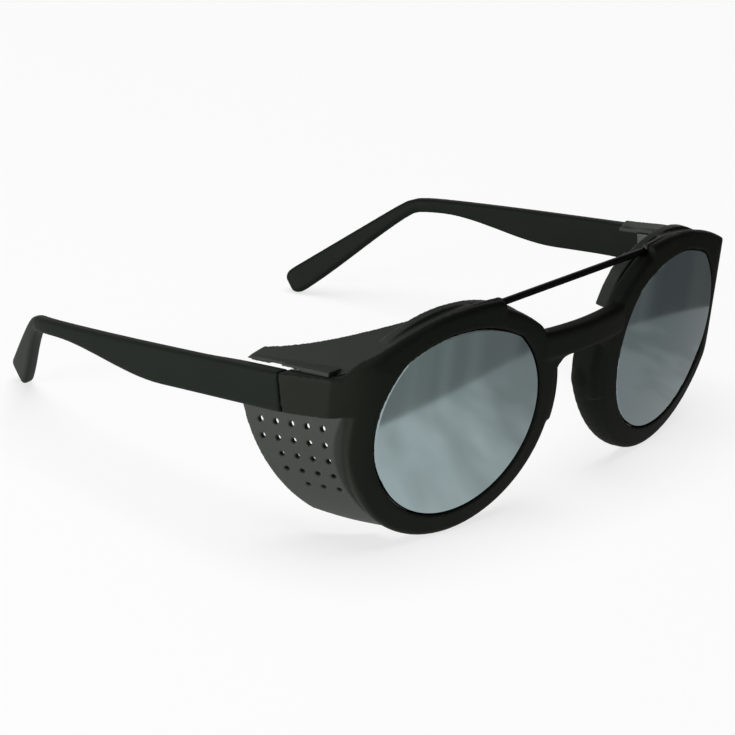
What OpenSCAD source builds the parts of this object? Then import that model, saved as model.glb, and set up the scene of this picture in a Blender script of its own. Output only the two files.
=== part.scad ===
// Glacier glasses: wrapped keyhole front, brow bar, vented side shields and folding temples.
// The left side (+X, the wearer's left) is modelled and the right side is its mirror image.
// The front looks along -Y, the temples run along +Y and the glasses stand on Z = 0.

/* [Lens] */
// Distance from the middle of the bridge to a lens centre
lens_centre = 39.07; // [37:0.01:42]
// Setback of the lens edges behind the origin of the front
lens_y = -0.23; // [-1:0.01:0.5]
// Turn of each rim away from the face plane, in degrees
wrap = 9; // [6:0.5:12]
// Radius of the round lower part of the lens opening
lens_low_r = 24.2; // [23:0.1:25]
// Radius of the flatter top of the lens opening
lens_top_r = 34; // [30:0.5:40]
// Height of the top of the opening above the lens centre
lens_top_h = 22.5; // [21.5:0.1:23]
// Depth of the bottom of the opening below the lens centre
lens_low_h = 23.6; // [23:0.1:24]
// Thickness of a lens
lens_t = 2; // [1.6:0.1:2.4]
// Radius of the lens curve
lens_curve_r = 150; // [130:5:200]
// How far the tongue of a lens reaches into the groove of its rim
lens_bite = 0.9; // [0.6:0.1:1.2]
// Thickness of the tongue round a lens
tongue_t = 0.9; // [0.7:0.05:1]

/* [Rim] */
// Width of a rim, seen from the front
rim_w = 5.9; // [5.5:0.1:6.2]
// Height of a rim in front of the lens edge
rim_lip = 0.5; // [0.3:0.1:0.8]
// Depth of a rim behind the lens edge
rim_back = 4.8; // [4.5:0.1:5.6]
// Rounding of the outer front edge of a rim
rim_round = 1.6; // [1:0.1:2]
// Fall of the rim front from the lens to the outer edge
rim_dish = 0.7; // [0.4:0.1:1]
// Height of the brow line above the lens centre
brow_top = 27.5; // [27:0.05:28.2]
// Radius of the brow line
brow_r = 72.8; // [68:0.1:80]
// How far the temple corner of the front stands out past its rim
corner_out = 4.3; // [4:0.1:5.2]
// Setback of the temple corner behind the lens edge
corner_back = 5.1; // [4.5:0.1:5.7]

/* [Bridge] */
// Height of the bridge top above the lens centre
bridge_top = 16.6; // [15.5:0.1:17.5]
// Height of the keyhole arch above the lens centre
bridge_low = 9.4; // [8:0.1:11]
// Thickness of the bridge from front to back
bridge_t = 4.6; // [3.6:0.1:5]
// Radius of the corners of the keyhole arch
keyhole_r = 7; // [5:0.1:8]
// How far a nose pad stands out from the rim
pad_out = 1.9; // [1.5:0.1:2.6]
// How far a nose pad reaches behind the rim
pad_back = 5; // [3:0.1:7]
// Radius of the rounded ends of a nose pad
pad_round = 10.5; // [9:0.1:10.8]

/* [Brow bar] */
// Diameter of the brow bar
bar_d = 1.7; // [1.4:0.1:2]
// Height of the brow bar above the lens centre
bar_z = 25.6; // [25.4:0.1:25.9]
// How deep an end of the brow bar sits in its rim
bar_grip = 4.5; // [3:0.1:5]

/* [Endpiece and hinge] */
// How far the middle of a temple at its hinge stands out past the temple corner
hinge_out = 0.65; // [0.2:0.05:1.2]
// Distance of the hinge behind the origin of the front
hinge_y = 24.4; // [22:0.1:27]
// Height of the temple top at the hinge above the lens centre
hinge_z = 12.6; // [11.8:0.1:13]
// Height of an endpiece
end_h = 9.6; // [8.8:0.1:10]
// Thickness of an endpiece and of the temple at the hinge
end_t = 4.2; // [3.8:0.1:4.6]
// Outer diameter of the hinge knuckles
knuckle_d = 3.2; // [2.8:0.1:3.6]
// Diameter of the hinge screw
pin_d = 1.4; // [1:0.1:1.6]
// Thickness of a hinge leaf
leaf_t = 1; // [0.8:0.1:1.2]
// Length of a hinge leaf
leaf_l = 10; // [9:0.1:11]
// Diameter of the screws that hold a leaf
leaf_screw_d = 1.2; // [1:0.1:1.3]
// Length of the screws that hold a leaf, under the head
leaf_screw_l = 2.6; // [2:0.1:2.8]

/* [Temple] */
// Length of a temple along its top line, from the joint to the tip
temple_l = 125; // [114:1:130]
// Downward slope of the temples against the front, in degrees
temple_slope = 12.5; // [9:0.1:15]
// Thickness of a temple past the hinge
temple_t = 3.4; // [2.8:0.1:4]
// Height of a temple where it passes over the ear
ear_h = 3.9; // [3:0.1:4.8]
// Height of a temple at its tip
tip_h = 7.4; // [6:0.1:9]
// Length of a temple before its ear bend
ear_at = 90; // [85:0.5:94]
// Drop of the ear end per millimetre of length
ear_drop = 0.64; // [0.4:0.02:0.8]
// Inward turn of the ear end per millimetre of length
ear_turn = 0.52; // [0.3:0.02:0.7]

/* [Side shield] */
// Wall of a side shield
shield_t = 1.5; // [1.2:0.1:1.8]
// Downward slope of the lower panel, in degrees
low_slope = 11; // [9:0.1:12]
// Downward slope of the top panel, in degrees
top_slope = 8.6; // [8:0.1:10]
// Outward splay of the lower panel, in degrees
low_splay = 9.6; // [7:0.1:11]
// How far a side shield reaches behind the hinge
shield_past = 13.5; // [10:0.5:15]
// Height of the lowest point of the lower panel, from the lens centre
shield_low = -26; // [-28:0.5:-22]
// Forward slant of the rear edge of the lower panel, in degrees
shield_rake = 30; // [20:1:35]
// Radius of the sweep that trims the top panel
shield_sweep_r = 45.5; // [43:0.5:48]
// Diameter of the vent holes
vent_d = 1.4; // [0.8:0.1:1.6]
// Spacing of the vent holes along a row
vent_pitch = 4.3; // [3.6:0.1:4.4]
// Angle between the rows of vent holes, in degrees
vent_row_step = 7.9; // [7:0.1:8.2]
// Diameter of the pegs that fix a shield
peg_d = 1; // [0.8:0.1:1.2]

/* [Fits] */
// Clearance between fixed pieces
fit = 0.05; // [0.03:0.01:0.1]
// Clearance between pieces that move past each other
run = 0.15; // [0.1:0.01:0.3]
// Free height above and below a temple in its shield
slot_gap = 0.4; // [0.3:0.05:0.8]

/* [Hidden] */
$fn = 48;
eps = 0.01;
far = 60;

// Lens opening: a low circle under a flatter top circle, each [centre, radius].
low_c = [0, lens_low_r - lens_low_h];
top_c = [0, lens_top_h - lens_top_r];
lens_circles = [[low_c, lens_low_r], [top_c, lens_top_r]];
// A rim is narrower over the flat top of its lens.
top_thin = 1.4;
rim_widths = [rim_w, rim_w - top_thin];
edge_bevel = 0.6;
lip_bevel = 0.3;
corner_x = lens_low_r + rim_w + corner_out;
hinge_x = from_above(corner_x, -corner_back).x + hinge_out;

// Front skin: a turn towards the temple from skin_x on.
skin_x = 20;
skin_drop = rim_lip + corner_back;
skin_r = (pow(corner_x - skin_x, 2) + skin_drop * skin_drop) / (2 * skin_drop);

// Brow line: one circle over the rim, from the bar to the temple corner.
brow_c = [-6.8, brow_top - brow_r];
brow_in = -11.5;
brow_low = 7;
panel_out = corner_x - 0.6;

// Height of the lens front over its lower edge, at the middle.
lens_sag = lens_curve_r - lens_depth(lens_low_r);

// Where the pieces of a rim begin and end, as angles round the lens.
shield_from = -64;
shield_to = 150;
nose_flange_from = 118;
low_to = 12;
pad_from = 154;
pad_to = 197;

// Depths along a rim, measured forward from the lens edge.
tongue_front = -0.7;
tongue_back = tongue_front - tongue_t;
rebate = 3.2;
rebate_in = 3.6;
rim_keep = 2;
rebate_end = brow_in - 0.4;
flange_t = 2.2;
nose_flange_t = 3.2;
peg_l = 1.4;
peg_root = 0.5;

// Widths of a shield round the lens opening.
low_shell = rim_w - 1.4;
top_shell_r = brow_r - 0.9;
flange_in = 2;
flange_out = rim_w - 1.5;
flange_under = 2.1;
// Each peg as [middle of the wall that carries it, distance from it, angle].
peg_z = rim_lip - rebate - fit - peg_root;
peg_depth = 0.7 * shield_t;
low_wall_r = lens_low_r + low_shell - peg_depth;
top_wall_r = top_shell_r - peg_depth;
peg_seats = concat(
    [for (a = [-58, -44]) [low_c, wall_reach(low_c, low_wall_r, low_slope, wrap + low_splay, a), a]],
    [for (a = [78]) [brow_c, wall_reach(brow_c, top_wall_r, top_slope, wrap, a), a]]
);

// Vent holes of the lower panel, row by row from the top.
vent_counts = [5, 5, 4, 4, 3];
vent_first_angle = 6.2;
vent_from = 19.1;
vent_lead = 0.4;

// Axis of the sweep that trims a shield round the face.
sweep_in = 50.1;
sweep_x = hinge_x - sweep_in;
sweep_y = 47.4;

// Bridge arch.
bridge_half = 12;
bridge_root = 2.6;
bridge_edge = 1.4;
bridge_r = bridge_half / sin(wrap);
bridge_front = lens_y - (lens_centre - bridge_half) * tan(wrap) - rim_lip * cos(wrap);

// Brow bar: it leaves each rim at the inner end of the brow line.
bar_set = 3.7;
bar_exit = from_above(brow_in, -bar_set).x;
bar_y = from_above(brow_in, -bar_set).y;
bar_mouth = 2;

// Hinge frame: X outward, Y along the temple, Z up, with Z = 0 on the temple top.
outer_x = 1.8;
inner_x = outer_x - end_t;
knuckle_gap = 0.35;
pivot_x = inner_x - knuckle_gap - knuckle_d / 2;
barrel_top = -1.45;
barrel_low = -end_h - barrel_top;
barrel_h = (barrel_top - barrel_low) / 3;
leaf_from = knuckle_d / 2 + 2 * run;
leaf_screw_edge = 1.9;
leaf_screw_at = [leaf_from + leaf_screw_edge, leaf_l - leaf_screw_edge];
leaf_mid = (barrel_low + barrel_top) / 2;
head_h = 0.6;
slot_behind = 1;
slot_from = from_above(lens_low_r + rim_w, -rim_back - flange_t).y + slot_behind - hinge_y;
gap_from = -4.4;

// Hem of the top panel: it starts inside the line where the panel meets the top of the endpiece.
hem_mid = (slot_from + gap_from) / 2;
hem_drop = (hinge_y + hem_mid - from_above(corner_x, -rim_back).y) * tan(top_slope);
hem_rise = hinge_z - hem_mid * tan(temple_slope) + hem_drop - brow_c.y;
panel_edge = from_above(0, -rim_back).x + brow_c.x + sqrt(top_shell_r * top_shell_r - hem_rise * hem_rise);
hem_over = 1.6;
hem_in = hinge_x + inner_x - panel_edge + hem_over;
hem_out = 0.6;
hem_t = 0.9;

// Inner outline of an endpiece, from the temple corner of the front.
end_inside = [[-4.2, 0.9], [-7.7, -1.6], [-11.7, -5]];
leaf_room = 2;

// Temple: a slight bow inward, a taper to the ear bend and a rounded tip.
thin_from = 3;
thin_to = 16;
temple_bow = 0.05;
bow_from = 55;
bow_soft = 20;
taper_from = 40;
taper_to = 80;
taper_first = 0.2;
drop_soft = 2;
turn_soft = 6;
turn_at = ear_at - 2;
temple_edge = 0.9;
temple_steps = 44;
tip_round = 2.4;
tip_thin = 0.4;

// Lengths along a temple at which its sections stand.
temple_stations = concat(
    [for (i = [0:temple_steps - 1]) run / 2 + (temple_l - run / 2) * i / temple_steps],
    [for (d = [1.6, 0.7, 0.2]) temple_l - d]
);

// Stance: lean the glasses until rim bottoms and temple tips touch the table.
rim_low = -lens_low_h - rim_w;
rim_foot = lens_y - (rim_lip - rim_dish - rim_round) * cos(wrap);
ear_end = [for (l = temple_stations) if (l > ear_at) each [for (p = temple_section(l)) to_front(p)]];
lean = -min([for (p = ear_end) atan2(p.y - rim_low, p.x - rim_foot)]);
stand_z = rim_round - rim_foot * sin(lean) - (rim_low + rim_round) * cos(lean);
bridge_nose = [bridge_front - bridge_r * (1 - cos(wrap)), bridge_top - bridge_edge];
stand_front = bridge_nose.x * cos(lean) - bridge_nose.y * sin(lean);
stand_rear = max([for (p = ear_end) p.x * cos(lean) - p.y * sin(lean)]);
stand_y = -(stand_front + stand_rear) / 2;

// Distance of the lens front from the middle of its sphere, at a radius from the lens axis.
function lens_depth(r) = sqrt(lens_curve_r * lens_curve_r - r * r);

// Distance from c, at an angle in the plane of the pegs, to a wall of radius r that is turned
// about the back of the rim.
function wall_reach(c, r, slope, splay, angle) =
    let (axis = [-cos(slope) * sin(splay), sin(slope), cos(slope) * cos(splay)])
    let (foot = [
        c.x * cos(splay) + c.y * sin(slope) * sin(splay), c.y * cos(slope),
        c.x * sin(splay) - c.y * sin(slope) * cos(splay) - rim_back
    ])
    let (w = [c.x, c.y, peg_z] - foot, u = [cos(angle), sin(angle), 0])
    let (w_out = w - (w * axis) * axis, u_out = u - (u * axis) * axis)
    let (a = u_out * u_out, b = w_out * u_out, d = w_out * w_out - r * r)
    (sqrt(b * b - a * d) - b) / a;

// Soft corner between a flat stretch and a ramp of slope 1.
function ramp(x, w) = (x + sqrt(x * x + w * w)) / 2;

// Smooth step from 0 at a to 1 at b.
function blend(a, b, x) =
    let (t = min(1, max(0, (x - a) / (b - a))))
    t * t * (3 - 2 * t);

// Points of an arc.
function arc(c, r, from, to, n = 4) = [
    for (i = [0:n]) c + r * [cos(from + (to - from) * i / n), sin(from + (to - from) * i / n)]
];

// Temple line along its top edge, in the hinge frame.
function temple_top(l) = [
    outer_x - temple_thick(l) / 2 - temple_bow * (ramp(l - bow_from, bow_soft) - ramp(-bow_from, bow_soft))
        - ear_turn * (ramp(l - turn_at, turn_soft) - ramp(-turn_at, turn_soft)),
    l,
    -ear_drop * (ramp(l - ear_at, drop_soft) - ramp(-ear_at, drop_soft))
];
function temple_thick(l) = end_t - (end_t - temple_t) * blend(leaf_l + thin_from, leaf_l + thin_to, l);
function temple_height(l) =
    end_h - taper_first * blend(0, taper_from, l)
    - (end_h - taper_first - ear_h) * blend(taper_from, taper_to, l)
    + (tip_h - ear_h) * blend(ear_at, temple_l, l);
function unit(v) = v / norm(v);
function temple_along(l) = unit(temple_top(l + 0.1) - temple_top(l - 0.1));
function temple_side(l) =
    let (d = temple_along(l))
    unit([1, 0, 0] - d.x * d);
function temple_up(l) = cross(temple_side(l), temple_along(l));

// A point of the hinge frame seen from the side, in the front's frame as [y, z].
function to_front(p) = [
    hinge_y + p.y * cos(temple_slope) + p.z * sin(temple_slope),
    hinge_z - p.y * sin(temple_slope) + p.z * cos(temple_slope)
];

// Turn the front's frame into the stance on the table.
module stand() {
    translate([0, stand_y, stand_z]) rotate([lean, 0, 0]) children();
}

module on_side(s) {
    if (s > 0) children();
    else mirror([1, 0, 0]) children();
}

// Lens frame: X towards the temple, Y up, Z forward.
module lens_frame() {
    translate([lens_centre, lens_y, 0]) rotate([0, 0, wrap]) rotate([90, 0, 0]) children();
}

// A point of the lens frame seen from above, in the front's frame.
function from_above(x, depth) = [
    lens_centre + x * cos(wrap) + depth * sin(wrap),
    lens_y + x * sin(wrap) - depth * cos(wrap)
];

module hinge_frame() {
    translate([hinge_x, hinge_y, hinge_z]) rotate([-temple_slope, 0, 0]) children();
}

// What the two circles of the lens opening have in common, grown by a margin.
module inside_circles(grow, low, high) {
    intersection_for(c = lens_circles)
        translate([c[0].x, c[0].y, low])
            cylinder(r = c[1] + grow, h = high - low);
}

// Profile of a disc with a dished front face and a rounded front edge.
function disc_profile(r, width) =
    let (edge = rim_lip - rim_dish)
    concat(
        [[0, -rim_back], [r - edge_bevel, -rim_back], [r, edge_bevel - rim_back]],
        arc([r - rim_round, edge - rim_round], rim_round, 0, 90),
        [[r - width, rim_lip], [0, rim_lip]]
    );

// Outer body of a rim: what two discs have in common.
module rim_disc() {
    intersection_for(i = [0, 1])
        translate([lens_circles[i][0].x, lens_circles[i][0].y, 0])
            rotate_extrude()
                polygon(disc_profile(lens_circles[i][1] + rim_widths[i], rim_widths[i]));
}

// Plate under the brow line, from the brow bar to the temple corner.
module brow_plate() {
    intersection() {
        translate([brow_c.x, brow_c.y, 0])
            rotate_extrude()
                polygon(disc_profile(brow_r, rim_w));
        translate([brow_in, brow_low, -far]) cube([corner_x - brow_in, far, 2 * far]);
    }
}

// Opening of a rim, with its lens groove.
module rim_opening() {
    deep = far / 4;
    intersection_for(c = lens_circles) {
        r = c[1];
        seat = r + fit;
        groove = seat + lens_bite;
        translate([c[0].x, c[0].y, 0])
            rotate_extrude()
                polygon([
                    [0, -deep], [seat, -deep], [seat, tongue_back - fit], [groove, tongue_back - fit],
                    [groove, tongue_front + fit], [seat, tongue_front + fit], [seat, rim_lip - lip_bevel],
                    [seat + lip_bevel, rim_lip + eps], [seat + lip_bevel, deep], [0, deep]
                ]);
    }
}

// Sector of the lens frame between two angles, over a stretch of depth.
module sector(from, to, low, high) {
    mid = (from + to) / 2;
    translate([0, 0, low])
        linear_extrude(high - low)
            polygon(concat([[0, 0]], [for (n = [from, mid, to]) 2 * far * [cos(n), sin(n)]]));
}

// Band under the brow line, drawn in by a margin.
module brow(margin, low, high) {
    intersection() {
        translate([brow_c.x, brow_c.y, low]) cylinder(r = brow_r - margin, h = high - low);
        translate([brow_in, brow_low, low])
            cube([corner_x - margin - brow_in, far, high - low]);
    }
}

// Everything that lies deeper than a given depth under the front skin.
module behind_skin(depth) {
    past = 12;
    turn = asin((corner_x - skin_x) / skin_r) + past;
    c = [skin_x, rim_lip - skin_r];
    last = c + (skin_r - depth) * [sin(turn), cos(turn)];
    translate([0, far, 0])
        rotate([90, 0, 0])
            linear_extrude(2 * far)
                polygon(concat(
                    [[-far, -far], [-far, rim_lip - depth]],
                    arc(c, skin_r - depth, 90, 90 - turn, 12),
                    [last + far * [cos(turn), -sin(turn)], [far, -2 * far]]
                ));
}

module rim() {
    difference() {
        intersection() {
            union() {
                rim_disc();
                brow_plate();
            }
            behind_skin(0);
        }
        intersection() {
            difference() {
                sector(shield_from, shield_to, -far, far);
                inside_circles(rim_keep, -far, far);
                brow(rebate_in, -far, far);
            }
            translate([rebate_end, -far, -far]) cube(2 * far);
            behind_skin(rebate);
        }
    }
}

// Nose pad: a flank that reaches behind the rim and closes the keyhole below its arch.
// Its profile is drawn as [distance from the lens centre, height over the lens edge].
module nose_pad() {
    mid = (pad_from + pad_to) / 2;
    reach = lens_low_r + rim_w;
    root = reach - 2.6;
    crest = reach + pad_out;
    front = rim_lip - rim_dish - 0.4;
    rear = -rim_back - pad_back;
    translate([low_c.x, low_c.y, 0])
        intersection() {
            rotate([0, 0, pad_from])
                rotate_extrude(angle = pad_to - pad_from)
                    polygon([
                        [root, front], [reach - 0.8, front], [reach + 0.9, front - 0.5],
                        [crest - 0.2, front - 1.4], [crest, front - 2.4], [crest - 0.6, front - 4.2],
                        [reach - 0.6, rear], [reach - 2, rear], [root, -rim_back]
                    ]);
            rotate([0, 0, mid]) translate([reach, 0, front - 3.2]) sphere(pad_round);
        }
}

// Bridge: a rounded bar bent round a vertical axis, with the corners of the keyhole filled.
module bridge() {
    span = 2 * asin((bridge_half + bridge_root) / bridge_r);
    r = bridge_edge;
    translate([0, bridge_front + bridge_r * cos(wrap), 0])
        rotate([0, 0, -90 - span / 2])
            rotate_extrude(angle = span)
                polygon(concat(
                    arc([bridge_r - r, bridge_top - r], r, 0, 90),
                    arc([bridge_r - bridge_t + r, bridge_top - r], r, 90, 180),
                    arc([bridge_r - bridge_t + r, bridge_low + r], r, 180, 270),
                    arc([bridge_r - r, bridge_low + r], r, 270, 360)
                ));
    arch_x = bridge_half - r;
    arch_c = [arch_x - keyhole_r, bridge_low - keyhole_r];
    for (s = [-1, 1])
        on_side(s)
            translate([0, bridge_front + bridge_t - r, 0])
                rotate([90, 0, 0])
                    linear_extrude(bridge_t - 1.5 * r)
                        polygon(concat(
                            [[arch_x, bridge_low + r], [arch_c.x, bridge_low + r]],
                            arc(arch_c, keyhole_r, 90, 0, 6)
                        ));
}

// Endpiece: a plan outline behind the temple corner, cut to the sloping band of the temple.
module endpiece(grow = 0) {
    outer = hinge_x + outer_x + grow;
    inner = hinge_x + inner_x - grow;
    corner = from_above(corner_x, -corner_back);
    tilt = (outer - corner.x - grow) / (hinge_y - corner.y);
    past = 6;
    ahead = 9;
    intersection() {
        translate([0, 0, -far / 2])
            linear_extrude(far)
                polygon(concat(
                    [[outer, hinge_y + past], [inner, hinge_y + past]],
                    [[inner, hinge_y - leaf_l - leaf_room]],
                    [for (p = end_inside) corner + p + [0, grow]],
                    [[corner.x + end_inside[2].x, corner.y - ahead]],
                    [[corner.x + grow - ahead * tilt, corner.y - ahead], [outer, hinge_y]]
                ));
        hinge_frame()
            translate([-far / 2, -far, -end_h - grow])
                cube([far, far - run / 2 + grow, end_h + 2 * grow]);
        lens_frame() behind_skin(-grow);
    }
}

module leaf_screw_holes(side) {
    for (l = leaf_screw_at)
        translate([inner_x - 1, side * l, leaf_mid])
            rotate([0, 90, 0])
                cylinder(d = leaf_screw_d + 2 * fit, h = leaf_screw_l - leaf_t + 1 + fit);
}

// Pegs on the front edge of a shield, which fix it in the rebate of its rim.
module pegs(grow = 0) {
    for (seat = peg_seats)
        translate([seat[0].x, seat[0].y, peg_z])
            rotate([0, 0, seat[2]])
                translate([seat[1], 0, 0])
                    cylinder(d = peg_d + 2 * grow, h = peg_root + peg_l + grow);
}

module half_front() {
    difference() {
        union() {
            lens_frame() {
                rim();
                nose_pad();
            }
            endpiece();
        }
        lens_frame() {
            rim_opening();
            pegs(fit);
        }
        hinge_frame() leaf_screw_holes(-1);
        bar_hole();
    }
}

// Seat of one end of the brow bar.
module bar_hole() {
    translate([bar_exit - bar_mouth, bar_y, bar_z])
        rotate([0, 90, 0])
            cylinder(d = bar_d + 2 * fit, h = bar_mouth + bar_grip + fit);
}

module front_frame() {
    color([0.09, 0.10, 0.09])
        stand() {
            for (s = [-1, 1])
                on_side(s) half_front();
            bridge();
        }
}

// Lens: a spherical shell, edged to the opening of its rim, with a tongue for the groove.
module lens(s) {
    color([0.55, 0.62, 0.64])
        stand() on_side(s) lens_frame()
            difference() {
                intersection() {
                    translate([0, 0, lens_sag - lens_curve_r]) sphere(lens_curve_r, $fn = 200);
                    union() {
                        inside_circles(0, -far / 4, far / 4);
                        inside_circles(lens_bite, tongue_back, tongue_front);
                    }
                }
                translate([0, 0, lens_sag - lens_curve_r]) sphere(lens_curve_r - lens_t, $fn = 200);
            }
}

module left_lens() { lens(1); }
module right_lens() { lens(-1); }

module brow_bar() {
    half = bar_exit + bar_grip;
    color([0.05, 0.05, 0.05])
        stand()
            translate([-half, bar_y, bar_z])
                rotate([0, 90, 0])
                    cylinder(d = bar_d, h = 2 * half);
}

// Turn a shell about the back of the rim, down and outward against the lens axis.
module shell_frame(slope, splay) {
    translate([0, 0, -rim_back]) rotate([-slope, -splay, 0]) translate([0, 0, rim_back]) children();
}

// Side shield: a top panel under the brow line and a round lower panel with vents.
module shield_shell() {
    ahead = 10;
    intersection() {
        union() {
            shell_frame(top_slope, wrap)
                intersection() {
                    difference() {
                        translate([brow_c.x, brow_c.y, -far]) cylinder(r = top_shell_r, h = far + ahead);
                        translate([brow_c.x, brow_c.y, -far - 1])
                            cylinder(r = top_shell_r - shield_t, h = far + ahead + 2);
                    }
                    translate([brow_in, 0, -far]) cube([panel_out - brow_in, far, far + ahead]);
                }
            intersection() {
                shell_frame(low_slope, wrap + low_splay)
                    difference() {
                        inside_circles(low_shell, -far, ahead);
                        inside_circles(low_shell - shield_t, -far - 1, ahead + 1);
                        vents();
                    }
                sector(shield_from, low_to, -far, far);
            }
        }
        behind_skin(rebate + fit);
    }
}

module vents() {
    for (row = [0:len(vent_counts) - 1])
        translate([low_c.x, low_c.y, 0])
            rotate([0, 0, vent_first_angle - row * vent_row_step])
                for (k = [0:vent_counts[row] - 1])
                    translate([lens_low_r, 0, row * vent_lead - vent_from - k * vent_pitch])
                        rotate([0, 90, 0])
                            cylinder(d = vent_d, h = rim_w + 2, $fn = 16);
}

// Side view of the shield, with X backward and Y up.
module shield_outline() {
    rear = hinge_y + shield_past;
    top = hinge_z - 2.4;
    corner_r = 3;
    offset(r = corner_r) offset(delta = -corner_r)
        polygon([
            [-far, far], [rear + 4, far], [rear + 4, top + 8], [rear - 2.4, top + 3.2],
            [rear, top], [rear, 2], [rear - (2 - shield_low) * tan(shield_rake), shield_low],
            [0, shield_low - 6], [-far, shield_low - 6]
        ]);
}

module shield_flange() {
    front = -rim_back - fit;
    intersection() {
        difference() {
            union() {
                inside_circles(flange_out, front - flange_t, front);
                brow(flange_under, front - flange_t, front);
                intersection() {
                    inside_circles(flange_out, front - nose_flange_t, front);
                    sector(nose_flange_from, shield_to, -far, far);
                }
                intersection() {
                    inside_circles(low_shell, front - flange_t, front);
                    sector(shield_from, low_to, -far, far);
                }
            }
            inside_circles(flange_in, -far, far);
        }
        sector(shield_from, shield_to, -far, far);
    }
}

// Hem of the top panel, which lies on the endpiece.
module shield_hem() {
    hinge_frame()
        translate([inner_x - hem_in, slot_from, fit])
            cube([hem_in + hem_out, gap_from - slot_from, hem_t]);
}

module temple_slot() {
    hinge_frame()
        for (band = [[slot_from, fit], [gap_from, slot_gap]])
            translate([-far / 2, band[0], -end_h - band[1]])
                cube([far, 2 * far, end_h + 2 * band[1]]);
}

module side_shield(s) {
    color([0.22, 0.23, 0.22])
        stand() on_side(s)
            difference() {
                union() {
                    difference() {
                        intersection() {
                            lens_frame() shield_shell();
                            rotate([90, 0, 90]) linear_extrude(2 * far) shield_outline();
                        }
                        translate([sweep_x, sweep_y, -far])
                            cylinder(r = shield_sweep_r, h = 2 * far);
                    }
                    lens_frame() shield_flange();
                    lens_frame() pegs();
                    shield_hem();
                }
                endpiece(fit);
                temple_slot();
                bar_hole();
            }
}

module left_side_shield() { side_shield(1); }
module right_side_shield() { side_shield(-1); }

// Hinge leaf on one side of the joint: -1 for the front leaf and 1 for the temple leaf.
module leaf(side, knuckles) {
    plate_x = inner_x - leaf_t;
    difference() {
        union() {
            translate([plate_x, side > 0 ? leaf_from : -leaf_l, barrel_low])
                cube([leaf_t - fit, leaf_l - leaf_from, barrel_top - barrel_low]);
            for (k = knuckles) {
                low = barrel_low + k * barrel_h + (k > 0 ? run / 2 : 0);
                high = barrel_low + (k + 1) * barrel_h - (k < 2 ? run / 2 : 0);
                translate([plate_x, side > 0 ? 0 : -leaf_from - eps, low])
                    cube([leaf_t - fit, leaf_from + eps, high - low]);
                translate([pivot_x, 0, low]) cylinder(d = knuckle_d, h = high - low);
            }
        }
        translate([pivot_x, 0, barrel_low - 1])
            cylinder(d = pin_d + 2 * fit, h = barrel_top - barrel_low + 2);
        for (l = leaf_screw_at)
            translate([plate_x - 1, side * l, leaf_mid])
                rotate([0, 90, 0]) cylinder(d = leaf_screw_d + 2 * fit, h = leaf_t + 2);
    }
}

module leaf_screws(side) {
    for (l = leaf_screw_at)
        translate([inner_x - leaf_t, side * l, leaf_mid])
            rotate([0, 90, 0]) {
                cylinder(d = leaf_screw_d, h = leaf_screw_l);
                translate([0, 0, -head_h]) cylinder(d = 2 * leaf_screw_d, h = head_h);
            }
}

module hinge_screw(s) {
    color("silver")
        stand() on_side(s) hinge_frame() translate([pivot_x, 0, barrel_low]) {
            cylinder(d = pin_d, h = barrel_top - barrel_low);
            translate([0, 0, barrel_top - barrel_low]) cylinder(d = 2 * pin_d, h = head_h);
        }
}

module hinge_front_leaf(s) {
    color("gray") stand() on_side(s) hinge_frame() leaf(-1, [0, 2]);
}

module hinge_temple_leaf(s) {
    color("gray") stand() on_side(s) hinge_frame() leaf(1, [1]);
}

module left_hinge_front_leaf() { hinge_front_leaf(1); }
module right_hinge_front_leaf() { hinge_front_leaf(-1); }
module left_hinge_temple_leaf() { hinge_temple_leaf(1); }
module right_hinge_temple_leaf() { hinge_temple_leaf(-1); }
module left_hinge_screw() { hinge_screw(1); }
module right_hinge_screw() { hinge_screw(-1); }

module front_leaf_screws() {
    color("silver")
        stand()
            for (s = [-1, 1])
                on_side(s) hinge_frame() leaf_screws(-1);
}

module temple_leaf_screws(s) {
    color("silver") stand() on_side(s) hinge_frame() leaf_screws(1);
}

module left_temple_leaf_screws() { temple_leaf_screws(1); }
module right_temple_leaf_screws() { temple_leaf_screws(-1); }

// Temple: a loft of rounded sections along its top line.
module temple_loft() {
    rings = [for (l = temple_stations) temple_section(l)];
    m = len(rings[0]);
    points = [for (ring = rings) each ring];
    sides = [
        for (i = [0:len(rings) - 2]) for (j = [0:m - 1])
            let (a = i * m + j, b = i * m + (j + 1) % m)
            each [[a, b, b + m], [a, b + m, a + m]]
    ];
    ends = [[for (j = [m - 1:-1:0]) j], [for (j = [0:m - 1]) (len(rings) - 1) * m + j]];
    polyhedron(points, concat(sides, ends));
}

// One section of the temple: a rectangle with rounded corners, drawn in at the tip.
function temple_section(l) =
    let (tip_left = (temple_l - l) / tip_round)
    let (close = tip_left < 1 ? sqrt(1 - (1 - tip_left) * (1 - tip_left)) : 1)
    let (h = temple_height(l) / 2, t = temple_thick(l) / 2)
    let (mid = temple_top(l) - h * temple_up(l))
    let (hh = h - tip_round * (1 - close), tt = t * (tip_thin + (1 - tip_thin) * close))
    let (r = min(temple_edge, 0.8 * min(hh, tt)))
    let (outline = concat(
        arc([tt - r, hh - r], r, 0, 90, 2), arc([r - tt, hh - r], r, 90, 180, 2),
        arc([r - tt, r - hh], r, 180, 270, 2), arc([tt - r, r - hh], r, 270, 360, 2)
    ))
    [for (p = outline) mid + p.x * temple_side(l) + p.y * temple_up(l)];

module temple(s) {
    color([0.13, 0.13, 0.13])
        stand() on_side(s) hinge_frame()
            difference() {
                temple_loft();
                leaf_screw_holes(1);
            }
}

module left_temple() { temple(1); }
module right_temple() { temple(-1); }

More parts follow.
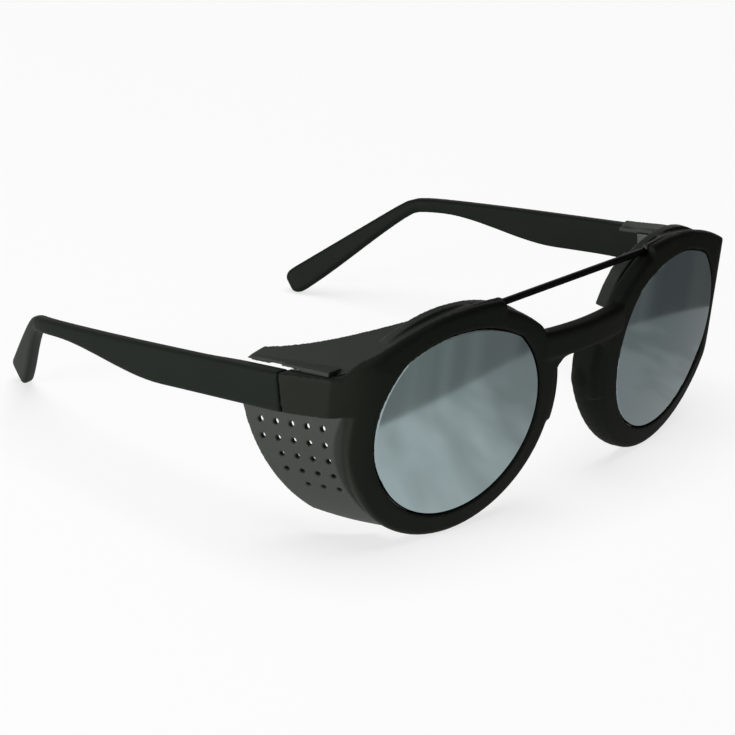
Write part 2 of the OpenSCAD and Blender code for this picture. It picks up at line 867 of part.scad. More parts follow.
front_frame();
left_lens();
right_lens();
brow_bar();
left_side_shield();
right_side_shield();
left_hinge_front_leaf();
right_hinge_front_leaf();
left_hinge_screw();
right_hinge_screw();
front_leaf_screws();
left_temple();
right_temple();
left_hinge_temple_leaf();
right_hinge_temple_leaf();
left_temple_leaf_screws();
right_temple_leaf_screws();
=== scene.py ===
# %% [markdown]
# Glacier glasses
#
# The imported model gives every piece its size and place: a wrapped front, two lenses, a brow bar,
# two side shields and two temples on barrel hinges. This lesson dresses that model. The moulded
# pieces get soft edges, the lenses get a true spherical mirror, the screws get slots, and every
# surface gets a finish of its own.

# %% Load the model
import math

import bmesh
import bpy
from mathutils import Matrix, Vector


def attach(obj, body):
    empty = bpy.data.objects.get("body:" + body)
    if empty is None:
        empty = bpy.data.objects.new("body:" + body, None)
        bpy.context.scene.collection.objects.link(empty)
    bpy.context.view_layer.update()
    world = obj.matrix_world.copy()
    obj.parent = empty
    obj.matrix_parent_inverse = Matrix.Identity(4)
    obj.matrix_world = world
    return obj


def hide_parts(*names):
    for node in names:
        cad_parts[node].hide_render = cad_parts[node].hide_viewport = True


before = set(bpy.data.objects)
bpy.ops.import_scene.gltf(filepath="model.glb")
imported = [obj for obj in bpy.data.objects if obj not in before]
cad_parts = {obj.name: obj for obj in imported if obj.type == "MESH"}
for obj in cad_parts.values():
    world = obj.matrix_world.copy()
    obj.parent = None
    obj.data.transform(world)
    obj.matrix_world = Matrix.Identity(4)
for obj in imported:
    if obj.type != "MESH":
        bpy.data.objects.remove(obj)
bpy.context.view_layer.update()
MM = 0.001

# %% [markdown]
# Stance
#
# The glasses stand on the bottoms of their rims and on the tips of their temples, so the whole
# front leans back a little. Three small frames place everything else: the stance of the front on
# the table, the frame of a lens, and the frame of a hinge. Each is one matrix, in millimetres, and
# the right side is the mirror image of the left. In the frame of a hinge, the outer and the inner
# face of the endpiece are two places along X.

# %% Frames of the front, the lenses and the hinges
LEAN = math.radians(4.71402)
STAND = Vector((0, -68.01, 29.2784))
WRAP = math.radians(9)
LENS_CENTRE = Vector((39.07, -0.23, 0))
HINGE = Vector((72.894, 24.4, 12.6))
TEMPLE_SLOPE = math.radians(12.5)
END_T = 4.2
OUTER_X = 1.8
INNER_X = OUTER_X - END_T
SIDES = {"left": 1, "right": -1}

to_metres = Matrix.Scale(MM, 4)
lean_back = Matrix.Rotation(LEAN, 4, "X")
stance = Matrix.Translation(STAND) @ lean_back


def on_side(side):
    return Matrix.Scale(side, 4, Vector((1, 0, 0)))


def lens_stance(side):
    lens_turn = Matrix.Rotation(WRAP, 4, "Z") @ Matrix.Rotation(math.pi / 2, 4, "X")
    return stance @ on_side(side) @ Matrix.Translation(LENS_CENTRE) @ lens_turn


def lens_place(side):
    return to_metres @ lens_stance(side)


def hinge_stance(side):
    slope = Matrix.Rotation(-TEMPLE_SLOPE, 4, "X")
    return stance @ on_side(side) @ Matrix.Translation(HINGE) @ slope


def hinge_place(side):
    return to_metres @ hinge_stance(side)


print("left lens at", [round(c, 4) for c in lens_place(1).translation])

# %% [markdown]
# Camera
#
# The photograph looks at the wearer's right side from the front and above, through a long lens
# and with a slight roll. The direction is set as an azimuth and an elevation against the front,
# then leaned with it.

# %% Camera
AZIMUTH = math.radians(-49.1)
ELEVATION = math.radians(25.03)
ROLL = math.radians(5.74)
EYE = Vector((-452.395, -329.382, 257.617))
FOCAL_PIXELS = 2570.09
PHOTO_PIXELS = 735
SENSOR = 36
NEAREST = 0.01

back = Vector((
    math.sin(AZIMUTH) * math.cos(ELEVATION),
    -math.cos(AZIMUTH) * math.cos(ELEVATION),
    math.sin(ELEVATION),
))
level = Vector((math.cos(AZIMUTH), math.sin(AZIMUTH), 0))
upright = back.cross(level)
across = level * math.cos(ROLL) + upright * math.sin(ROLL)
up = upright * math.cos(ROLL) - level * math.sin(ROLL)
turn = Matrix((across, up, back)).transposed().to_4x4()

camera_data = bpy.data.cameras.new("camera")
camera_data.sensor_width = SENSOR
camera_data.lens = FOCAL_PIXELS / PHOTO_PIXELS * SENSOR
camera_data.clip_start = NEAREST
camera = bpy.data.objects.new("camera", camera_data)
camera.matrix_world = Matrix.Translation((stance @ EYE) * MM) @ lean_back @ turn
bpy.context.scene.collection.objects.link(camera)
bpy.context.scene.camera = camera
bpy.context.scene.view_settings.view_transform = "Standard"
print("camera focal length", round(camera_data.lens, 1), "mm")

# %% [markdown]
# Shader maths
#
# A finish is easier to read when its arithmetic looks like arithmetic. The small class below wraps
# a node's output so that plus, minus and times add Math nodes, and a finish has one method that
# adds any other node. The rest of the methods only give short names to what the finishes use.


# %% Values
class Value:
    def __init__(self, tree, socket):
        self.tree = tree
        self.socket = socket

    def math(self, operation, first, second):
        node = self.tree.nodes.new("ShaderNodeMath")
        node.operation = operation
        for slot, value in zip(node.inputs, (first, second)):
            if isinstance(value, Value):
                self.tree.links.new(value.socket, slot)
            else:
                slot.default_value = value
        return Value(self.tree, node.outputs[0])

    def __add__(self, other):
        return self.math("ADD", self, other)

    def __radd__(self, other):
        return self.math("ADD", other, self)

    def __sub__(self, other):
        return self.math("SUBTRACT", self, other)

    def __rsub__(self, other):
        return self.math("SUBTRACT", other, self)

    def __mul__(self, other):
        return self.math("MULTIPLY", self, other)

    def __rmul__(self, other):
        return self.math("MULTIPLY", other, self)

    def at_most(self, other):
        return self.math("MINIMUM", self, other)


# %% Finishes
class Finish:
    def __init__(self, name, tree=None):
        if tree is None:
            self.material = bpy.data.materials.new(name)
            self.material.use_nodes = True
            tree = self.material.node_tree
        self.tree = tree
        self.tree.nodes.clear()

    def add(self, kind, settings=None, sockets=None):
        node = self.tree.nodes.new(kind)
        for key, value in (settings or {}).items():
            if key == "stops":
                ramp = node.color_ramp.elements
                while len(ramp) < len(value):
                    ramp.new(0.5)
                for element, (place, colour) in zip(ramp, value):
                    element.position = place
                    element.color = colour
            else:
                setattr(node, key, value)
        for key, value in (sockets or {}).items():
            slot = node.inputs[key]
            if isinstance(value, Value):
                self.tree.links.new(value.socket, slot)
            else:
                slot.default_value = value
        return node

    def out(self, node, name=0):
        return Value(self.tree, node.outputs[name])

    def place(self):
        return self.out(self.add("ShaderNodeTexCoord"), "Object")

    def stretched(self, scale):
        mapping = self.add("ShaderNodeMapping", sockets={"Vector": self.place(), "Scale": scale})
        return self.out(mapping)

    def noise(self, scale, detail, vector=None):
        sockets = {"Vector": vector or self.place(), "Scale": scale, "Detail": detail}
        return self.out(self.add("ShaderNodeTexNoise", sockets=sockets), "Fac")

    def blend(self, mask, low, high):
        mix = self.add("ShaderNodeMix", {"data_type": "RGBA"}, {0: mask, 6: low, 7: high})
        return self.out(mix, 2)

    def ramp(self, factor, stops):
        return self.out(self.add("ShaderNodeValToRGB", {"stops": stops}, {"Fac": factor}), "Color")

    def bump(self, height, strength, distance):
        sockets = {"Height": height, "Strength": strength, "Distance": distance}
        return self.out(self.add("ShaderNodeBump", sockets=sockets), "Normal")

    def glow(self, colour):
        sockets = {"Color": colour, "Strength": 1.0}
        return self.out(self.add("ShaderNodeEmission", sockets=sockets))

    def surface(self, **sockets):
        named = {key.replace("_", " "): value for key, value in sockets.items()}
        shader = self.add("ShaderNodeBsdfPrincipled", sockets=named)
        self.finish_with(self.out(shader), "ShaderNodeOutputMaterial")
        return self.material

    def finish_with(self, shader, output):
        target = self.add(output)
        self.tree.links.new(shader.socket, target.inputs["Surface"])


# %% [markdown]
# Moulded black
#
# The front is injected nylon with a dry, fine grain. It is nearly black with a trace of olive, and
# its sheen wanders a little where the mould was polished unevenly. A picture of the grain would
# show seams on such a rounded piece, so noise on the piece's own coordinates does it: a slow cloud
# for colour and sheen, a fleck, and fine pores that break up the highlights. The scales count
# features per metre.

# %% Finish of the front and the temples
CLOUD_SCALE = 90.0
FLECK_SCALE = 1400.0
PORE_SCALE = 5200.0
CLOUD_TINT = 0.6
FLECK_TINT = 0.4
CLOUD_SHEEN = 0.07
FLECK_SHEEN = 0.05
SHEEN_BELOW = 0.05
FLECK_GRAIN = 0.35
PORE_GRAIN = 0.65
GRAIN_DEPTH = 0.00006


def moulded(name, dark, light, rough, grain, specular):
    finish = Finish(name)
    cloud = finish.noise(CLOUD_SCALE, detail=3.0)
    fleck = finish.noise(FLECK_SCALE, detail=2.0)
    pores = finish.noise(PORE_SCALE, detail=1.0)
    height = fleck * FLECK_GRAIN + pores * PORE_GRAIN
    return finish.surface(
        Base_Color=finish.blend(cloud * CLOUD_TINT + fleck * FLECK_TINT, dark, light),
        Roughness=rough - SHEEN_BELOW + cloud * CLOUD_SHEEN + fleck * FLECK_SHEEN,
        Specular_IOR_Level=specular,
        Normal=finish.bump(height, grain, GRAIN_DEPTH),
    )


front_black = moulded(
    "front_black",
    dark=(0.0115, 0.0135, 0.0100, 1),
    light=(0.0175, 0.0198, 0.0153, 1),
    rough=0.50,
    grain=0.30,
    specular=0.03,
)
temple_black = moulded(
    "temple_black",
    dark=(0.0080, 0.0105, 0.0080, 1),
    light=(0.0130, 0.0160, 0.0125, 1),
    rough=0.50,
    grain=0.28,
    specular=0.03,
)
print("moulded finishes", front_black.name, temple_black.name)

# %% [markdown]
# Shield grey
#
# The shields are a softer, lighter grey plastic. The same recipe serves, with a stronger grain and
# a rougher sheen than the front has, so they catch a broader, duller light.

# %% Finish of the side shields
shield_grey = moulded(
    "shield_grey",
    dark=(0.037, 0.041, 0.035, 1),
    light=(0.051, 0.056, 0.049, 1),
    rough=0.55,
    grain=0.40,
    specular=0.06,
)
print("shield finish", shield_grey.name)

# %% [markdown]
# Lens mirror
#
# A mirrored lens has a thin metal coat on its front only. From the front it is a cool silver
# mirror with a faint green and blue drift in the coat. From behind it is a dark grey gloss. One
# finish that asks which way a face looks would be harder to carry to other programs, so the lens
# has two finishes, one for each face.

# %% Finishes of the lenses
MIRROR_GREEN = (0.268, 0.352, 0.352, 1)
MIRROR_BLUE = (0.315, 0.372, 0.392, 1)
SMOKE_DARK = (0.010, 0.011, 0.012, 1)
SMOKE_LIGHT = (0.016, 0.017, 0.018, 1)

silver = Finish("lens_silver")
drift = silver.noise(scale=38.0, detail=1.0)
haze = silver.noise(scale=160.0, detail=2.0)
lens_silver = silver.surface(
    Base_Color=silver.blend(drift, MIRROR_GREEN, MIRROR_BLUE),
    Metallic=1.0,
    Roughness=0.08 + haze * 0.05,
)

smoke = Finish("lens_smoke")
tint = smoke.noise(scale=30.0, detail=1.0)
lens_smoke = smoke.surface(
    Base_Color=smoke.blend(tint, SMOKE_DARK, SMOKE_LIGHT),
    Roughness=0.06 + tint * 0.03,
    Specular_IOR_Level=0.35,
)
print("lens finishes", lens_silver.name, lens_smoke.name)

# %% [markdown]
# Metals
#
# The brow bar is wire with satin black paint, and the paint has a slight orange peel. The hinge
# leaves are stamped from blackened steel, with fine lines along their length, and the screws are
# turned from bright steel. The lines are a noise that is drawn out along one axis. The screws use
# the same recipe, with a noise that is even in all directions.

# %% Finishes of the bar, the hinges and the screws
PAINT_DARK = (0.0028, 0.0030, 0.0028, 1)
PAINT_LIGHT = (0.0055, 0.0058, 0.0055, 1)

painted = Finish("bar_black")
orange_peel = painted.noise(scale=1800.0, detail=1.0)
bar_black = painted.surface(
    Base_Color=painted.blend(orange_peel, PAINT_DARK, PAINT_LIGHT),
    Roughness=0.36 + orange_peel * 0.10,
    Specular_IOR_Level=0.05,
    Normal=painted.bump(orange_peel, strength=0.15, distance=0.00004),
)


def steel(name, dark, light, rough, lines):
    finish = Finish(name)
    brushed = finish.noise(scale=900.0, detail=2.0, vector=finish.stretched(lines))
    return finish.surface(
        Base_Color=finish.blend(brushed, dark, light),
        Metallic=1.0,
        Roughness=rough + brushed * 0.15,
        Normal=finish.bump(brushed, strength=0.12, distance=0.00003),
    )


hinge_steel = steel(
    "hinge_steel",
    dark=(0.050, 0.050, 0.048, 1),
    light=(0.085, 0.085, 0.082, 1),
    rough=0.32,
    lines=(6.0, 0.4, 6.0),
)
screw_steel = steel(
    "screw_steel",
    dark=(0.44, 0.44, 0.43, 1),
    light=(0.60, 0.60, 0.59, 1),
    rough=0.22,
    lines=(3.0, 3.0, 3.0),
)
print("metal finishes", bar_black.name, hinge_steel.name, screw_steel.name)

# %% [markdown]
# Pieces
#
# Every new piece takes the place of a CAD node, rides on that node's body and names its material
# slot. Three short helpers serve all of them: one turns a bmesh into a mesh, one shades round sides
# smoothly and leaves the sharper edges crisp, and one puts the piece in its place.

# %% Helpers for pieces
CREASE = 0.5


def made_mesh(name, edit):
    mesh = bpy.data.meshes.new(name)
    edit.to_mesh(mesh)
    edit.free()
    return mesh


def shade(edit):
    for face in edit.faces:
        face.smooth = True
    for edge in edit.edges:
        edge.smooth = edge.calc_face_angle(0) < CREASE


def show(name, mesh, body, finishes, stands_for):
    piece = bpy.data.objects.new(name, mesh)
    bpy.context.scene.collection.objects.link(piece)
    # Clearing the list also sets every face back to the first finish, so an empty one is left alone.
    if mesh.materials:
        mesh.materials.clear()
    for finish in finishes:
        mesh.materials.append(finish)
    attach(piece, body)
    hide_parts(stands_for)
    print(name, "has", len(mesh.polygons), "faces")


# %% [markdown]
# Soft edges
#
# A moulded piece has no sharp edge: the tool is rounded and tumbling takes off the rest. A bevel
# would have to thread through every seam of the CAD mesh, so a copy is remeshed into even, tiny
# quads instead, and a few passes of smoothing round every edge by about the size of those quads.
# Blocks and balls that are added before the remesh melt into the piece. The remesh can leave a
# speck of a few faces, which is dropped. The work is done in millimetres, because the remesh has a
# lower limit on its step.

# %% Helpers for moulded pieces
MERGE = 0.002
BALL_LEVELS = 3
SPECK_POINTS = 100
SMOOTHING = 0.5


def block(low, high, place):
    size = [b - a for a, b in zip(low, high)]
    middle = [(a + b) / 2 for a, b in zip(low, high)]
    return place @ Matrix.Translation(middle) @ Matrix.Diagonal(size + [1])


def drop_specks(edit):
    unseen = set(edit.verts)
    while unseen:
        island = [unseen.pop()]
        for point in island:
            for edge in point.link_edges:
                other = edge.other_vert(point)
                if other in unseen:
                    unseen.remove(other)
                    island.append(other)
        if len(island) < SPECK_POINTS:
            bmesh.ops.delete(edit, geom=island, context="VERTS")


def even_quads(mesh, step):
    blank = bpy.data.objects.new("blank", mesh)
    bpy.context.scene.collection.objects.link(blank)
    remesh = blank.modifiers.new("even quads", "REMESH")
    remesh.mode = "VOXEL"
    remesh.voxel_size = step
    graph = bpy.context.evaluated_depsgraph_get()
    quads = bpy.data.meshes.new_from_object(blank.evaluated_get(graph))
    bpy.data.objects.remove(blank)
    return quads


def soft_copy(node, step, passes, blocks=(), balls=()):
    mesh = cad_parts[node].data.copy()
    mesh.transform(Matrix.Scale(1 / MM, 4))
    edit = bmesh.new()
    edit.from_mesh(mesh)
    bmesh.ops.remove_doubles(edit, verts=edit.verts, dist=MERGE)
    for shape in blocks:
        bmesh.ops.create_cube(edit, size=1, matrix=shape)
    for shape in balls:
        bmesh.ops.create_icosphere(edit, subdivisions=BALL_LEVELS, radius=1, matrix=shape)
    edit.to_mesh(mesh)
    edit.free()
    rounded = even_quads(mesh, step)
    bpy.data.meshes.remove(mesh)

    edit = bmesh.new()
    edit.from_mesh(rounded)
    drop_specks(edit)
    for _ in range(passes):
        bmesh.ops.smooth_vert(
            edit, verts=edit.verts, factor=SMOOTHING, use_axis_x=True, use_axis_y=True, use_axis_z=True
        )
    for face in edit.faces:
        face.smooth = True
        face.material_index = 0
    edit.to_mesh(rounded)
    edit.free()
    rounded.transform(to_metres)
    return rounded


# %% [markdown]
# Front
#
# The front carries everything: rims, bridge, nose pads and the endpieces that reach back to the
# hinges. On a real front the lower end of a nose pad runs out into the rim. A chain of balls does
# that here, each smaller, nearer to the lens and further forward than the last, because the remesh
# melts them into one tapered form.

# %% Front
TAPER_BALLS = 13
TAPER_FROM = math.radians(188)
TAPER_TURN = math.radians(58)
PAD_REACH = 28.6
PAD_LEVEL = -5.4
PAD_HALF = (3.3, 5.0, 4.3)
TAPER_IN = 1.0
TAPER_RISE = 2.9
TAPER_THIN = 1.4
TAPER_SHALLOW = 2.1


def pad_tapers(side):
    thick, long, deep = PAD_HALF
    tapers = []
    for i in range(TAPER_BALLS):
        done = i / (TAPER_BALLS - 1)
        turned = Matrix.Rotation(TAPER_FROM + TAPER_TURN * done, 4, "Z")
        middle = Matrix.Translation((PAD_REACH - TAPER_IN * done, 0, PAD_LEVEL + TAPER_RISE * done))
        size = Matrix.Diagonal((thick - TAPER_THIN * done, long, deep - TAPER_SHALLOW * done, 1))
        tapers.append(lens_stance(side) @ turned @ middle @ size)
    return tapers


tapers = pad_tapers(1) + pad_tapers(-1)
softened = soft_copy("front_frame", step=0.37, passes=5, balls=tapers)
show("front", softened, "frame", [front_black], "front_frame")

# %% [markdown]
# Side shields
#
# A shield has a top panel, a lower panel with rows of vent holes, and a flange behind the rim. Its
# steps are finer than the front's, because a vent hole is only 1.4 mm across. The panel ends in a
# turned-out hem along the temple, so only a hair of daylight shows there, and over the hinge the hem
# reaches right across the barrel. Overlapping blocks make the hem, one for each run of it.

# %% Side shields
HEM_TOP = 1.0
HEM_W = 5.2
HEM_IN = INNER_X - HEM_W

# Each run of the hem: its start and end along the temple, its underside and its outer edge.
HEM_RUNS = [
    (-12.9, -4.2, -0.2, INNER_X + 0.7),
    (-4.6, 2.0, 0.3, INNER_X + 0.6),
    (1.7, 7.0, 0.2, INNER_X - 0.4),
    (6.7, 12.6, -0.1, INNER_X - 0.4),
]

for side, sign in SIDES.items():
    node = side + "_side_shield"
    hem = []
    for start, end, low, out in HEM_RUNS:
        hem.append(block((HEM_IN, start, low), (out, end, HEM_TOP), hinge_stance(sign)))
    softened = soft_copy(node, step=0.235, passes=3, blocks=hem)
    show(side + "_shield", softened, "frame", [shield_grey], node)

# %% [markdown]
# Temples
#
# Each temple is a flat bar that tapers to the ear bend and then flares to its tip. Its CAD form is
# already right, so it only gets soft edges. Its step is a little finer than the front's and it takes
# one more pass, which gives about the same rounding.

# %% Temples
for side in SIDES:
    node = side + "_temple"
    softened = soft_copy(node, step=0.30, passes=6)
    show(side + "_arm", softened, node, [temple_black], node)

# %% [markdown]
# Lenses
#
# A mirror shows every facet, so the lens isn't a copy. One profile runs from the middle of the
# front to its edge, over a fine bevel, round the tongue that sits in the groove, and along the back
# to the middle again. It is spun into a round lens, and each ring is then drawn out to the outline
# of the opening and raised onto the sphere that a lens is ground to. The outline is the inside of
# two circles, a round one below and a flatter one above.

# %% Profile of a lens
LENS_LOW_R = 24.2
LENS_LOW_H = 23.6
LENS_TOP_R = 34.0
LENS_TOP_H = 22.5
LENS_CIRCLES = [(LENS_LOW_R - LENS_LOW_H, LENS_LOW_R), (LENS_TOP_H - LENS_TOP_R, LENS_TOP_R)]
LENS_CURVE = 150.0
LENS_T = 2.0
LENS_EDGE = 0.3
LENS_CLEAR = 0.12
TONGUE_OUT = 0.9
TONGUE_FRONT = -0.7
TONGUE_BACK = -1.6
LENS_RINGS = 36
LENS_STEPS = 144
LENS_MERGE = 0.0005
lens_sag = LENS_CURVE - math.sqrt(LENS_CURVE ** 2 - LENS_LOW_R ** 2)


def lens_reach(angle):
    reaches = []
    for height, radius in LENS_CIRCLES:
        rise = height * math.sin(angle)
        reaches.append(rise + math.sqrt(radius ** 2 - (height * math.cos(angle)) ** 2))
    return min(reaches)


def lens_level(out, curve):
    return math.sqrt(curve ** 2 - out ** 2) + lens_sag - LENS_CURVE


# Each row: share of the reach, step past it, and its level or the sphere that it lies on.
rings = [i / LENS_RINGS for i in range(LENS_RINGS + 1)]
front_rows = [(share, -(LENS_EDGE + LENS_CLEAR) * share, "front") for share in rings]
front_rows += [(1, -LENS_CLEAR, "edge")]
tongue_rows = [
    (1, -LENS_CLEAR, TONGUE_FRONT),
    (1, TONGUE_OUT, TONGUE_FRONT),
    (1, TONGUE_OUT, TONGUE_BACK),
    (1, 0, TONGUE_BACK),
]
back_rows = [(share, 0, "back") for share in reversed(rings)]
lens_rows = front_rows + tongue_rows + back_rows
print("lens profile of", len(lens_rows), "rows")


# %% Lenses
def settle_lens_point(point):
    share, past, level = lens_rows[round(point.co.z)]
    angle = math.atan2(point.co.y, point.co.x)
    out = lens_reach(angle) * share + past
    if level == "front":
        level = lens_level(out, LENS_CURVE)
    elif level == "edge":
        level = lens_level(out, LENS_CURVE) - LENS_EDGE
    elif level == "back":
        level = lens_level(out, LENS_CURVE - LENS_T)
    point.co = (out * math.cos(angle), out * math.sin(angle), level)


def lens_mesh(side):
    edit = bmesh.new()
    chain = [edit.verts.new((1, 0, i)) for i in range(len(lens_rows))]
    edges = [edit.edges.new(pair) for pair in zip(chain, chain[1:])]
    bmesh.ops.spin(
        edit, geom=chain + edges, cent=(0, 0, 0), axis=(0, 0, 1), angle=2 * math.pi,
        steps=LENS_STEPS, use_merge=True,
    )
    for face in edit.faces:
        last_row = max(round(point.co.z) for point in face.verts)
        face.material_index = 0 if last_row < len(front_rows) else 1
    for point in edit.verts:
        settle_lens_point(point)
    bmesh.ops.remove_doubles(edit, verts=edit.verts, dist=LENS_MERGE)
    bmesh.ops.transform(edit, matrix=lens_place(side), verts=edit.verts)
    bmesh.ops.recalc_face_normals(edit, faces=edit.faces)
    shade(edit)
    return made_mesh("lens", edit)


for side, sign in SIDES.items():
    finishes = [lens_silver, lens_smoke]
    show(side + "_glass", lens_mesh(sign), "frame", finishes, side + "_lens")

# %% [markdown]
# Brow bar
#
# The bar is a straight wire. Its copy only needs its corners merged, so that the round side can be
# shaded smooth while the flat ends stay crisp inside the rims.

# %% Brow bar
BAR_MERGE = 0.000002

edit = bmesh.new()
edit.from_mesh(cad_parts["brow_bar"].data)
bmesh.ops.remove_doubles(edit, verts=edit.verts, dist=BAR_MERGE)
shade(edit)
show("bar", made_mesh("bar", edit), "frame", [bar_black], "brow_bar")

# %% [markdown]
# Hinge leaves
#
# The leaves are stamped and barrel-rolled, so no edge of them is sharp either. They get the same
# soft edges as the moulded pieces, at a much smaller scale.

# %% Hinge leaves
for side in SIDES:
    for part, body in (("front", "frame"), ("temple", side + "_temple")):
        node = side + "_hinge_" + part + "_leaf"
        softened = soft_copy(node, step=0.11, passes=3)
        show(node + "_plate", softened, body, [hinge_steel], node)

# %% [markdown]
# Screws
#
# Small slotted screws hold the leaves, and a longer one is the hinge pin. One screw is turned from
# two rods, its head gets a rounded edge, and four cuts leave a strip on the head that is sunk
# into a slot. A boolean would cut the slot too, but the strip keeps every face clean. No two slots
# on a leaf point the same way.

# %% One screw
HEAD_H = 0.6
HEAD_ROUND = 0.14
HEAD_SEGMENTS = 40
SHANK_SEGMENTS = 32
SLOT_W = 0.36
SLOT_DEPTH = 0.24
SLOT_DRAFT = 0.02
SLOT_SHARE = 0.34
NEAR_TOP = 0.01
NEAR_AXIS = 0.05
FACING_UP = 0.9


def add_rod(edit, width, height, middle, segments):
    bmesh.ops.create_cone(
        edit, cap_ends=True, segments=segments, radius1=width / 2, radius2=width / 2, depth=height,
        matrix=Matrix.Translation((0, 0, middle)),
    )


def cut_slot(screw, head_d):
    for axis, half in ((Vector((1, 0, 0)), SLOT_W / 2), (Vector((0, 1, 0)), SLOT_SHARE * head_d)):
        for side in (-1, 1):
            parts = screw.verts[:] + screw.edges[:] + screw.faces[:]
            bmesh.ops.bisect_plane(screw, geom=parts, plane_co=axis * half * side, plane_no=axis)
    top = [face for face in screw.faces if face.normal.z > FACING_UP]
    strip = [face for face in top if face.calc_center_median().xy.length < NEAR_AXIS]
    bmesh.ops.inset_region(screw, faces=strip, thickness=SLOT_DRAFT, depth=-SLOT_DEPTH)


def add_screw(edit, shank_d, shank_l, place):
    head_d = 2 * shank_d
    screw = bmesh.new()
    add_rod(screw, head_d, HEAD_H, HEAD_H / 2, HEAD_SEGMENTS)
    crown = [e for e in screw.edges if min(v.co.z for v in e.verts) > HEAD_H - NEAR_TOP]
    bmesh.ops.bevel(
        screw, geom=crown, offset=HEAD_ROUND, segments=3, profile=0.5, affect="EDGES", material=-1
    )
    cut_slot(screw, head_d)
    add_rod(screw, shank_d, shank_l, -shank_l / 2, SHANK_SEGMENTS)
    shade(screw)
    bmesh.ops.transform(screw, matrix=place, verts=screw.verts)
    bmesh.ops.recalc_face_normals(screw, faces=screw.faces)
    made = made_mesh("screw", screw)
    edit.from_mesh(made)
    bpy.data.meshes.remove(made)


# %% All screws
END_H = 9.6
LEAF_T = 1.0
LEAF_MID = -END_H / 2
LEAF_SCREW_D = 1.2
LEAF_SCREW_L = 2.6
LEAF_SCREWS = (3.8, 8.1)
KNUCKLE_D = 3.2
KNUCKLE_GAP = 0.35
PIN_D = 1.4
PIVOT_X = INNER_X - KNUCKLE_GAP - KNUCKLE_D / 2
BARREL_TOP = -1.45
BARREL_H = END_H + 2 * BARREL_TOP
FIRST_TURN = 0.7
NEXT_TURN = 1.3
PIN_TURN = 0.5


def screw_piece(node, body, screws):
    edit = bmesh.new()
    for shank_d, shank_l, place in screws:
        add_screw(edit, shank_d, shank_l, place)
    show(node + "_set", made_mesh(node, edit), body, [screw_steel], node)


def leaf_screws(side, end):
    inward = Matrix.Rotation(-math.pi / 2, 4, "Y")
    screws = []
    for i, along in enumerate(LEAF_SCREWS):
        seat = Matrix.Translation((INNER_X - LEAF_T, end * along, LEAF_MID))
        spin = Matrix.Rotation(FIRST_TURN + NEXT_TURN * i + end, 4, "Z")
        screws.append((LEAF_SCREW_D, LEAF_SCREW_L, hinge_place(side) @ seat @ inward @ spin))
    return screws


for side, sign in SIDES.items():
    pin = Matrix.Translation((PIVOT_X, 0, BARREL_TOP)) @ Matrix.Rotation(PIN_TURN, 4, "Z")
    screw_piece(side + "_hinge_screw", "frame", [(PIN_D, BARREL_H, hinge_place(sign) @ pin)])
    screw_piece(side + "_temple_leaf_screws", side + "_temple", leaf_screws(sign, 1))
screw_piece("front_leaf_screws", "frame", leaf_screws(1, -1) + leaf_screws(-1, -1))

# %% [markdown]
# Floor
#
# The photograph is cut out on white. More light on the floor would make it white too, but it would
# also wash out the glasses. So what the camera and the mirrors see of the floor is mostly a white
# glow, and the rest is a pale matt surface that keeps the shadow. Any other ray meets the matt
# surface alone.

# %% Floor
FLOOR_HALF = 3.0
FLOOR_GREY = 0.78
WHITE_SHARE = 0.75
SEEING_RAYS = ("Is Camera Ray", "Is Glossy Ray", "Is Transmission Ray")


def grey(level):
    return (level, level, level, 1)


def stage_piece(name, mesh):
    piece = bpy.data.objects.new(name, mesh)
    bpy.context.scene.collection.objects.link(piece)
    return piece


def seen_directly(finish):
    path = finish.add("ShaderNodeLightPath")
    camera_ray, glossy_ray, transmission_ray = [finish.out(path, name) for name in SEEING_RAYS]
    return (camera_ray + glossy_ray + transmission_ray).at_most(1.0)


pale = Finish("floor_pale")
matt = pale.out(pale.add("ShaderNodeBsdfDiffuse", sockets={"Color": grey(FLOOR_GREY)}))
white = pale.glow(grey(1.0))
share = seen_directly(pale) * WHITE_SHARE
mix = pale.add("ShaderNodeMixShader", sockets={0: share, 1: matt, 2: white})
pale.finish_with(pale.out(mix), "ShaderNodeOutputMaterial")

edit = bmesh.new()
bmesh.ops.create_grid(edit, x_segments=1, y_segments=1, size=FLOOR_HALF)
floor = stage_piece("floor", made_mesh("floor", edit))
floor.data.materials.append(pale.material)
print("floor", 2 * FLOOR_HALF, "m wide")

# %% [markdown]
# Mirror surround
#
# A mirrored lens shows what stands before it, so a dim curtain hangs in a curve in front of the
# glasses, and a card lies at its foot. Both are glowing sheets that paint the reflection in the
# lenses: their glow is painted light that fades from left to right, in soft streaks. They are seen in
# reflections only, and they light nothing.

# %% Curtain and card
ARC_MIDDLE = Vector((0.035, -0.047, 0))
ARC_RADIUS = 0.102
ARC_FROM = math.radians(205)
ARC_TO = math.radians(365)
ARC_SPREAD = math.radians(260)
SPREAD_RATE = 0.0295
CURTAIN_H = 0.4
CURTAIN_PANELS = 64
CARD_SHARE = 1.2
CARD_SEGMENTS = 96
CARD_LIFT = 0.0004
HALF = 0.5
RAMP_RATE = 4.0
STREAK_SCALE = (60.0, 22.0, 1.5)

# Each level: a place along X in metres, and how bright the painted glow is there.
CURTAIN_LEVELS = [(-0.06, 0.44), (0.0, 0.31), (0.05, 0.25), (0.09, 0.15), (0.12, 0.12)]
CURTAIN_STREAKS = 0.9
CARD_LEVELS = [(-0.05, 1.0), (-0.005, 0.68), (0.035, 0.46), (0.07, 0.44), (0.10, 0.32)]
CARD_STREAKS = 0.5
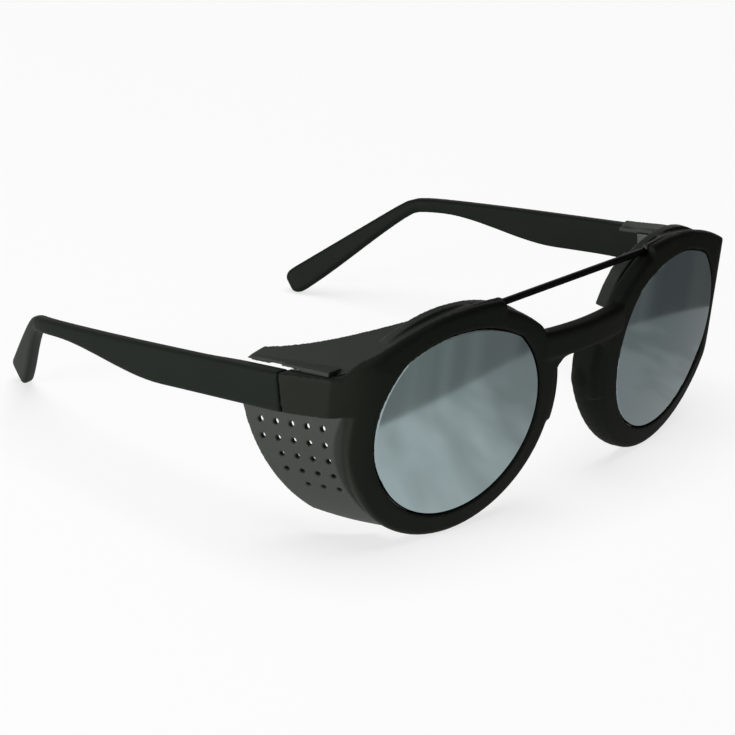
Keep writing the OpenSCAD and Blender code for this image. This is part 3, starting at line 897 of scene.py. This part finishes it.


# The glow is a painted reflection: a ramp of brightness along X, brighter on the left, broken into
# soft streaks by stretched noise.
def glow_seen_in_mirrors(name, mesh, levels, streaks):
    piece = stage_piece(name, mesh)
    piece.visible_camera = False
    piece.visible_diffuse = False
    piece.visible_shadow = False
    piece.visible_transmission = False
    finish = Finish(name)
    axes = finish.add("ShaderNodeSeparateXYZ", sockets={"Vector": finish.place()})
    streak_noise = finish.noise(scale=1.0, detail=2.0, vector=finish.stretched(STREAK_SCALE))
    along = finish.out(axes, "X") * RAMP_RATE + HALF + (streak_noise - HALF) * streaks
    stops = [(HALF + RAMP_RATE * x, grey(brightness)) for x, brightness in levels]
    glow = finish.glow(finish.ramp(along, stops))
    finish.finish_with(glow, "ShaderNodeOutputMaterial")
    mesh.materials.append(finish.material)
    print(name, "with", len(levels), "levels")


edit = bmesh.new()
bmesh.ops.create_grid(edit, x_segments=CURTAIN_PANELS, y_segments=1, size=HALF)
for point in edit.verts:
    angle = ARC_FROM + (ARC_TO - ARC_FROM) * (point.co.x + HALF)
    radius = ARC_RADIUS + SPREAD_RATE * max(0, ARC_SPREAD - angle) ** 2
    foot = ARC_MIDDLE + radius * Vector((math.cos(angle), math.sin(angle), 0))
    point.co = foot + Vector((0, 0, CURTAIN_H * (point.co.y + HALF)))
glow_seen_in_mirrors("curtain", made_mesh("curtain", edit), CURTAIN_LEVELS, CURTAIN_STREAKS)

edit = bmesh.new()
bmesh.ops.create_circle(
    edit, cap_ends=True, segments=CARD_SEGMENTS, radius=CARD_SHARE * ARC_RADIUS,
    matrix=Matrix.Translation(ARC_MIDDLE + Vector((0, 0, CARD_LIFT))),
)
glow_seen_in_mirrors("card", made_mesh("card", edit), CARD_LEVELS, CARD_STREAKS)

# %% [markdown]
# Light
#
# One large soft lamp stands low on the picture's left and a little behind the front, so the sides
# are lit and the front stays dark, as in the photograph. A soft overhead light falls on the table
# alone. The table throws it back up, which lights the undersides, and the glasses keep their shadow.
# The world is a weak fill, and where it is seen directly it is white.

# %% World
WORLD_FILL = 0.05
WORLD_WHITE = 1.0

world = bpy.data.worlds.new("studio")
bpy.context.scene.world = world
world.use_nodes = True
sky = Finish("studio", world.node_tree)


def background(strength):
    sockets = {"Color": grey(1.0), "Strength": strength}
    return sky.out(sky.add("ShaderNodeBackground", sockets=sockets))


sky_shares = {0: seen_directly(sky), 1: background(WORLD_FILL), 2: background(WORLD_WHITE)}
both = sky.add("ShaderNodeMixShader", sockets=sky_shares)
sky.finish_with(sky.out(both), "ShaderNodeOutputWorld")
print("world fill", WORLD_FILL)

# %% Lamps
LAMP_PLACE = Vector((-1.0, 0.26, 0.05))
LAMP_AIM = Vector((0, -0.02, 0.03))
LAMP_SIZE = 0.5
LAMP_POWER = 16.0
TABLE_POWER = 3.0
TABLE_SPREAD = math.radians(50)


def lamp(name, kind, power):
    light = bpy.data.objects.new(name, bpy.data.lights.new(name, kind))
    light.data.energy = power
    bpy.context.scene.collection.objects.link(light)
    return light


side_lamp = lamp("side_lamp", "AREA", LAMP_POWER)
side_lamp.data.shape = "DISK"
side_lamp.data.size = LAMP_SIZE
aim = LAMP_AIM - LAMP_PLACE
facing = aim.to_track_quat("-Z", "Y").to_matrix().to_4x4()
side_lamp.matrix_world = Matrix.Translation(LAMP_PLACE) @ facing
print("side lamp at", round(aim.length, 2), "m")

table_light = lamp("table_light", "SUN", TABLE_POWER)
table_light.data.angle = TABLE_SPREAD
table_only = bpy.data.collections.new("table_only")
table_only.objects.link(floor)
table_light.light_linking.receiver_collection = table_only
